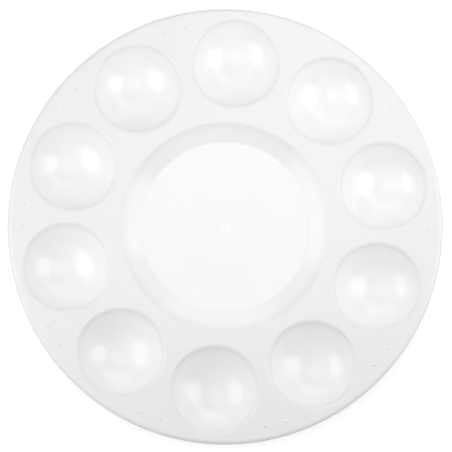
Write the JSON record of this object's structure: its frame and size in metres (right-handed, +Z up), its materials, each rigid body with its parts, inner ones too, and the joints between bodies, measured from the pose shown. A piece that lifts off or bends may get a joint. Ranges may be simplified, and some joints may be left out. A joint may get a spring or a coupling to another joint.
{
  "type": "mixing palette",
  "caption": "Round white plastic mixing palette: small round paint wells in a ring round a wide, shallow flat-floored pan, on a thin deck with a turned-down rim.",
  "frame": {"origin": "on the palette's axis, at the level that the wells stand on", "axes": "+Z up along the palette's axis; +X from the axis towards the first paint well"},
  "size_m": [0.17, 0.17, 0.0117],
  "materials": {
    "plastic": "satin-gloss white moulded plastic"
  },
  "bodies": {
    "root": {"deck": "plastic", "centre_pan": "plastic", "well_01": "plastic", "well_02": "plastic", "well_03": "plastic", "well_04": "plastic", "well_05": "plastic", "well_06": "plastic", "well_07": "plastic", "well_08": "plastic", "well_09": "plastic", "well_10": "plastic"}
  },
  "joints": []
}
